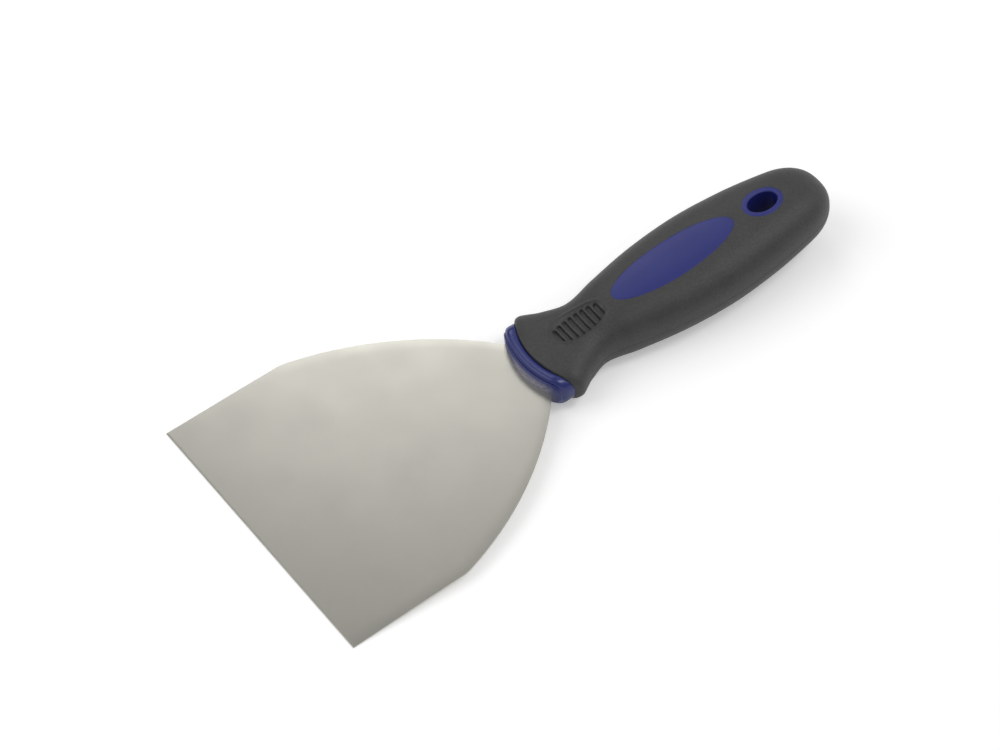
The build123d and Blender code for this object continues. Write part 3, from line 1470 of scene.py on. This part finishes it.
@dataclass(frozen=True)
class HardCore:
    """The hard plastic core: collar, windows, eyelet and the body that joins them.

    Attributes:
        form: The handle's form, which its windows lie flush with.
        window: The oval that shows on each face.
        hole: The hang hole.
        eyelet_wall: The ring round the hang hole, mm.
        bead: The collar's glossy bead.
        nose: The lower nose in front of it.
        body_front: The front of its body, behind the nose.
        edge: Rounding of the windows' rims and the ring's outer rims, mm.
        edge_steps: Rows of points round each of these.
        hole_edge: Rounding of the hang hole's rims, mm.
        hole_edge_steps: Rows of points round each of these.
        window_rings: Rings of points over each window.
        body_pitch: Pitch of the body's rows, mm.
        body_butt_rows: Rows of points round its far end.
        body_columns: It uses one in this many of the grip's points round the section.
    """

    form: HandleForm
    window: Oval
    hole: Oval
    eyelet_wall: float
    bead: BowedBar
    nose: BowedBar
    body_front: Bow
    edge: float = 0.1
    edge_steps: int = 4
    hole_edge: float = 0.45
    hole_edge_steps: int = 6
    window_rings: int = 30
    body_pitch: float = 2.5
    body_butt_rows: int = 8
    body_columns: int = 4

    def make_window(self, face: Face, frame: ToolFrame) -> Object:
        """Make one window: an oval pad flush with the handle, with a rounded rim.

        Args:
            face: The side that it shows on.
            frame: Lays it down.

        Returns:
            The pad.
        """
        rings = [(0.0, HIDDEN_DEPTH, 0.0), (0.0, HIDDEN_DEPTH, 1.0)]
        for sine, cosine in quarter_arc(self.edge_steps):
            rings.append((-self.edge * (1 - cosine), self.edge * (1 - sine), 1.0))
        shares = [1 - (i + 1) / self.window_rings for i in range(self.window_rings)]
        rings += [(-self.edge, 0.0, share) for share in shares]

        def place(row: int, column: int) -> Place:
            """Place of one point of the pad.

            Args:
                row: The point's row.
                column: Its column.

            Returns:
                The place, mm in the flat tool frame.
            """
            outward, drop, share = rings[row]
            at, across = self.window.larger(outward).rim(column / OVAL_STEPS)
            at = self.window.at + (at - self.window.at) * share
            height = self.form.height_over(at, across * share) - drop
            return BLADE_REACH + at, across * share, face.value * height

        name = f"core_window_{face.name.lower()}"
        return wrap(name, len(rings), OVAL_STEPS, place, frame)

    def make_eyelet(self, frame: ToolFrame) -> Object:
        """Make the sleeve that lines the hang hole, with its rims flush and rounded.

        Args:
            frame: Lays it down.

        Returns:
            The sleeve.
        """
        half = [(0.0, self.hole_edge + HIDDEN_DEPTH)]
        for sine, cosine in quarter_arc(self.hole_edge_steps):
            half.append((self.hole_edge * (1 - cosine), self.hole_edge * (1 - sine)))
        for sine, cosine in quarter_arc(self.edge_steps):
            half.append((self.eyelet_wall - self.edge * (1 - sine), self.edge * (1 - cosine)))
        half.append((self.eyelet_wall, self.edge + HIDDEN_DEPTH))
        loop = [(offset, drop, Face.UPPER) for offset, drop in half]
        loop += [(offset, drop, Face.LOWER) for offset, drop in reversed(half)]

        def place(row: int, column: int) -> Place:
            """Place of one point of the sleeve.

            Args:
                row: The point's row.
                column: Its column.

            Returns:
                The place, mm in the flat tool frame.
            """
            offset, drop, face = loop[row % len(loop)]
            at, across = self.hole.larger(offset).rim(column / OVAL_STEPS)
            height = self.form.height_over(at, across) - drop
            return BLADE_REACH + at, across, face.value * height

        return wrap("core_eyelet", len(loop) + 1, OVAL_STEPS, place, frame)

    def make_body(self, frame: ToolFrame) -> Object:
        """Make the hidden body that the grip is moulded over, with its hang hole.

        Args:
            frame: Lays it down.

        Returns:
            The body.
        """
        form, front, wall = self.form, self.body_front, self.form.wall
        section = form.section()[::self.body_columns]
        round_from, inner_end = form.round_from(), form.butt_round - wall
        places = [front.at] + spread(front.at, form.straight_from, self.body_pitch)
        places += spread(form.straight_from, round_from, self.body_pitch)[1:]
        butt = quarter_arc(self.body_butt_rows)[1:]
        places += [round_from + inner_end * sine for sine, _ in butt]
        rows = [form.row(at, wall, front) for at in places]

        def place(row: int, column: int) -> Place:
            """Place of one point of the body, with its front drawn shut.

            Args:
                row: The point's row.
                column: Its column.

            Returns:
                The place, mm in the flat tool frame.
            """
            if row == 0:
                return BLADE_REACH + front.at, 0.0, 0.0
            share_y, share_z = section[column]
            at = form.settle(rows[row], front, share_y)
            half_width, half_height = form.half_sizes(at, wall)
            return BLADE_REACH + at, half_width * share_y, half_height * share_z

        body = wrap("core_body", len(rows), len(section), place, frame)
        opening = self.hole.larger(self.eyelet_wall / 2)
        cut(body, [prism("hole_cutter", opening, OVAL_STEPS, CUTTER_REACH, frame)])
        return body

    def build(self, frame: ToolFrame, gloss: Material, painted_nose: Material, satin: Material) -> None:
        """Make and dress every part of the core.

        Args:
            frame: Lays them down.
            gloss: Finish of the collar's bead.
            painted_nose: Finish of its nose, with a painted reflection of the blade.
            satin: Finish of the windows, the eyelet and the body.
        """
        parts = [(self.bead.build(frame), gloss), (self.nose.build(frame), painted_nose)]
        parts += [(self.make_window(face, frame), satin) for face in Face]
        parts += [(self.make_eyelet(frame), satin), (self.make_body(frame), satin)]
        for piece, material in parts:
            dress(piece, material, "handle_core")


# ---------------------------------------------------------------- studio


def direction(azimuth: float, elevation: float) -> Vector:
    """Find the unit vector of a direction.

    Args:
        azimuth: Degrees from -Y towards +X.
        elevation: Degrees over the table.

    Returns:
        The vector.
    """
    turn, rise = math.radians(azimuth), math.radians(elevation)
    level = math.cos(rise)
    return Vector((level * math.sin(turn), -level * math.cos(turn), math.sin(rise)))


def aim(away: Vector) -> Matrix:
    """Turn of a lamp or camera that looks back along a direction."""
    return away.to_track_quat("Z", "Y").to_matrix().to_4x4()


@dataclass(frozen=True)
class SoftBox:
    """A square area lamp, placed by its direction from the tool.

    Attributes:
        name: The lamp's name.
        azimuth: Direction from the tool, degrees from -Y towards +X.
        elevation: Height over the table, degrees.
        distance: From the table's middle, metres.
        size: Edge of the lamp, metres.
        power: Watts.
    """

    name: str
    azimuth: float
    elevation: float
    distance: float
    size: float
    power: float

    def build(self) -> None:
        """Hang the lamp, turned to the middle of the table."""
        lamp = bpy.data.lights.new(self.name, "AREA")
        lamp.shape = "SQUARE"
        lamp.size = self.size
        lamp.energy = self.power
        away = direction(self.azimuth, self.elevation)
        holder = shown(self.name, lamp)
        holder.matrix_world = Matrix.Translation(away * self.distance) @ aim(away)
        holder.visible_camera = False


@dataclass(frozen=True)
class Camera:
    """The long lens that looks down on the tool from the blade's near corner.

    Attributes:
        target: Point that it aims at, mm in the flat tool frame.
        azimuth: Degrees from -Y towards +X.
        elevation: Degrees over the table.
        roll: Degrees about its own axis.
        distance: Metres from the target.
        lens: Focal length, mm.
        sensor: Width of the frame, mm.
    """

    target: Place = (92.5, 3.66, 0.26)
    azimuth: float = -34.94
    elevation: float = 51.06
    roll: float = -1.18
    distance: float = 1.5297
    lens: float = 180.0
    sensor: float = 36.0

    def build(self, frame: ToolFrame) -> None:
        """Set up the camera and make it the scene's.

        Args:
            frame: The frame in which the target lies.
        """
        data = bpy.data.cameras.new("camera")
        data.lens = self.lens
        data.sensor_width = self.sensor
        away = direction(self.azimuth, self.elevation)
        place = Matrix.Translation(frame.put(self.target) + away * self.distance)
        roll = Matrix.Rotation(math.radians(self.roll), 4, "Z")
        holder = shown("camera", data)
        holder.matrix_world = place @ aim(away) @ roll
        bpy.context.scene.camera = holder


@dataclass(frozen=True)
class PaleSide:
    """A pale part of the surround that fades out smoothly to its sides.

    Attributes:
        azimuth: Direction of its middle, degrees from -Y towards +X.
        elevation: Height of its middle over the table, degrees.
        level: Brightness at its middle, where 1 is white.
        spread: Cosines of the angles from its middle where it has faded out and where
            it reaches its full level.
    """

    azimuth: float
    elevation: float
    level: float
    spread: tuple[float, float] = (-0.1, 0.9)

    def shade(self, tree: NodeTree, facing: NodeSocket) -> NodeSocket:
        """Its brightness in each direction.

        Args:
            tree: The world's nodes.
            facing: The direction.

        Returns:
            The brightness.
        """
        toward = add_node(
            tree,
            "ShaderNodeVectorMath",
            settings={"operation": "DOT_PRODUCT"},
            values={1: direction(self.azimuth, self.elevation)},
            links={0: facing},
        )
        low, high = self.spread
        fade = add_node(
            tree,
            "ShaderNodeMapRange",
            settings={"interpolation_type": "SMOOTHSTEP"},
            values={"From Min": low, "From Max": high, "To Max": self.level},
            links={"Value": toward.outputs["Value"]},
        )
        return fade.outputs["Result"]


@dataclass(frozen=True)
class Studio:
    """A pale table, a pale surround and soft lamps.

    Attributes:
        table_size: Edge of the square table top, metres.
        table_colour: Colour that takes the shadow.
        table_roughness: How evenly it scatters light.
        glow: Added brightness of the table where it is seen.
        horizon: Heights up to which the seen background is white and where that has
            faded, degrees.
        surround: The pale parts of the surround, as light on the tool.
        lamps: The lamps.
    """

    table_size: float = 6.0
    table_colour: str = "F0F0F0"
    table_roughness: float = 0.5
    glow: float = 0.32
    horizon: tuple[float, float] = (6.0, 14.0)
    surround: tuple[PaleSide, ...] = (
        PaleSide(-19.4, 25.5, 0.27),
        PaleSide(135.0, 81.9, 0.24),
        PaleSide(90.0, 25.0, 0.6, (0.6, 0.95)),
        PaleSide(-123.0, 12.0, 0.5, (0.72, 0.96)),
    )
    lamps: tuple[SoftBox, ...] = (
        SoftBox("key", 55.0, 60.0, 2.0, 0.6, 7.5),
        SoftBox("side", -123.0, 50.0, 2.0, 1.6, 11.5),
        SoftBox("back", 157.0, 44.0, 0.75, 0.3, 0.64),
    )

    def build(self) -> None:
        """Set up the table, the surround and the lamps."""
        self.make_table()
        self.make_surround()
        for lamp in self.lamps:
            lamp.build()
        bpy.context.scene.view_settings.view_transform = "Standard"

    def seen(self, tree: NodeTree) -> NodeSocket:
        """Tell the rays that show a surface from those that light by it.

        Args:
            tree: The material's or world's nodes.

        Returns:
            1 where it is seen directly, mirrored or through glass.
        """
        path = add_node(tree, "ShaderNodeLightPath")
        seen = path.outputs["Is Camera Ray"]
        for ray in ("Is Glossy Ray", "Is Transmission Ray"):
            seen = add_node(
                tree,
                "ShaderNodeMath",
                settings={"operation": "MAXIMUM"},
                links={0: seen, 1: path.outputs[ray]},
            ).outputs[0]
        return seen

    def make_table(self) -> None:
        """Make the table top, which keeps the tool's shadow."""
        bm = bmesh.new()
        bmesh.ops.create_grid(bm, x_segments=1, y_segments=1, size=self.table_size / 2)
        table = finished(bm, "table")
        material = blank_material("matt_white_table")
        tree = material.node_tree
        matt = add_node(
            tree,
            "ShaderNodeBsdfDiffuse",
            values={"Color": linear(self.table_colour), "Roughness": self.table_roughness},
        )
        strength = add_node(
            tree,
            "ShaderNodeMath",
            settings={"operation": "MULTIPLY"},
            values={1: self.glow},
            links={0: self.seen(tree)},
        )
        glow = add_node(
            tree,
            "ShaderNodeEmission",
            values={"Color": linear("FFFFFF")},
            links={"Strength": strength.outputs[0]},
        )
        both = add_node(
            tree,
            "ShaderNodeAddShader",
            links={0: matt.outputs["BSDF"], 1: glow.outputs["Emission"]},
        )
        add_node(tree, "ShaderNodeOutputMaterial", links={"Surface": both.outputs["Shader"]})
        table.data.materials.append(material)

    def make_surround(self) -> None:
        """Make the surround: white where it is seen, dimmer as light on the tool."""
        world = bpy.data.worlds.new("surround")
        bpy.context.scene.world = world
        world.use_nodes = True
        tree = world.node_tree
        tree.nodes.clear()
        facing = add_node(tree, "ShaderNodeTexCoord").outputs["Generated"]
        level, *others = [side.shade(tree, facing) for side in self.surround]
        for other in others:
            level = add_node(tree, "ShaderNodeMath", links={0: level, 1: other}).outputs[0]
        upward = add_node(tree, "ShaderNodeSeparateXYZ", links={"Vector": facing})
        low, high = (math.sin(math.radians(angle)) for angle in self.horizon)
        white = add_node(
            tree,
            "ShaderNodeMapRange",
            settings={"interpolation_type": "SMOOTHSTEP"},
            values={"From Min": low, "From Max": high, "To Min": 1.0, "To Max": 0.0},
            links={"Value": upward.outputs["Z"]},
        )
        shown = add_node(
            tree,
            "ShaderNodeMath",
            settings={"operation": "MULTIPLY"},
            links={0: white.outputs["Result"], 1: self.seen(tree)},
        )
        strength = add_node(
            tree,
            "ShaderNodeMix",
            settings={"data_type": "FLOAT"},
            values={3: 1.0},
            links={0: shown.outputs[0], 2: level},
        )
        light = add_node(
            tree,
            "ShaderNodeBackground",
            values={"Color": linear("FFFFFF")},
            links={"Strength": strength.outputs[0]},
        )
        add_node(tree, "ShaderNodeOutputWorld", links={"Surface": light.outputs["Background"]})


# ---------------------------------------------------------------- the whole tool


def main() -> None:
    """Load the frame, build each sub-assembly around it and light it."""
    logging.basicConfig(level=logging.INFO, format="%(name)s: %(message)s")
    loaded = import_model()
    frame = ToolFrame.from_record(loaded["record"])
    Camera().build(frame)
    Studio().build()

    polished = MouldedPlastic(
        name="polished_polypropylene",
        colours=("212B70", "1D2668"),
        roughness=(0.243, 0.3105),
        relief_mm=0.012,
        grain_mm=2.5,
    )
    # The nose's finish paints the pale reflection of the blade and table onto its front.
    painted_nose = replace(
        polished,
        name="polypropylene_painted_reflection",
        roughness=(0.27, 0.345),
        relief_mm=0.02,
        grain_mm=0.6,
        painted_reflection="86849C",
    )
    satin = MouldedPlastic(
        name="satin_polypropylene",
        colours=("212976", "1D246F"),
        roughness=(0.378, 0.483),
        relief_mm=0.008,
        grain_mm=0.5,
    )

    form = HandleForm()
    seam = Bow(4.2, 28.5)
    window = Oval(58.6, 46.5, 14.2)
    hole = Oval(93.5, 10.6, 7.0)
    eyelet_wall = 1.8
    core = HardCore(
        form=form,
        window=window,
        hole=hole,
        eyelet_wall=eyelet_wall,
        bead=BowedBar(
            name="core_bead",
            front=Bow(0.8, 30.5),
            back=seam,
            width=31.5,
            height=11.6,
            corner=5.0,
            front_fillet=1.2,
            back_fall=0.75,
            back_run=2.2,
        ),
        nose=BowedBar(
            name="core_nose",
            front=Bow(0.0, seam.radius),
            back=Bow(2.5, seam.radius),
            width=29.8,
            height=8.6,
            corner=3.4,
            front_fillet=0.5,
            back_fall=0.2,
            back_run=0.2,
        ),
        body_front=Bow(2.5, seam.radius),
    )
    grip = SoftGrip(form=form, seam=seam, window=window, eyelet=hole.larger(eyelet_wall))

    BladeSheet().build(frame, SatinStainless().make(frame))
    core.build(frame, polished.make(frame), painted_nose.make(frame), satin.make(frame))
    grip.build(frame, SandedRubber().make(frame))


if __name__ == "__main__":
    main()
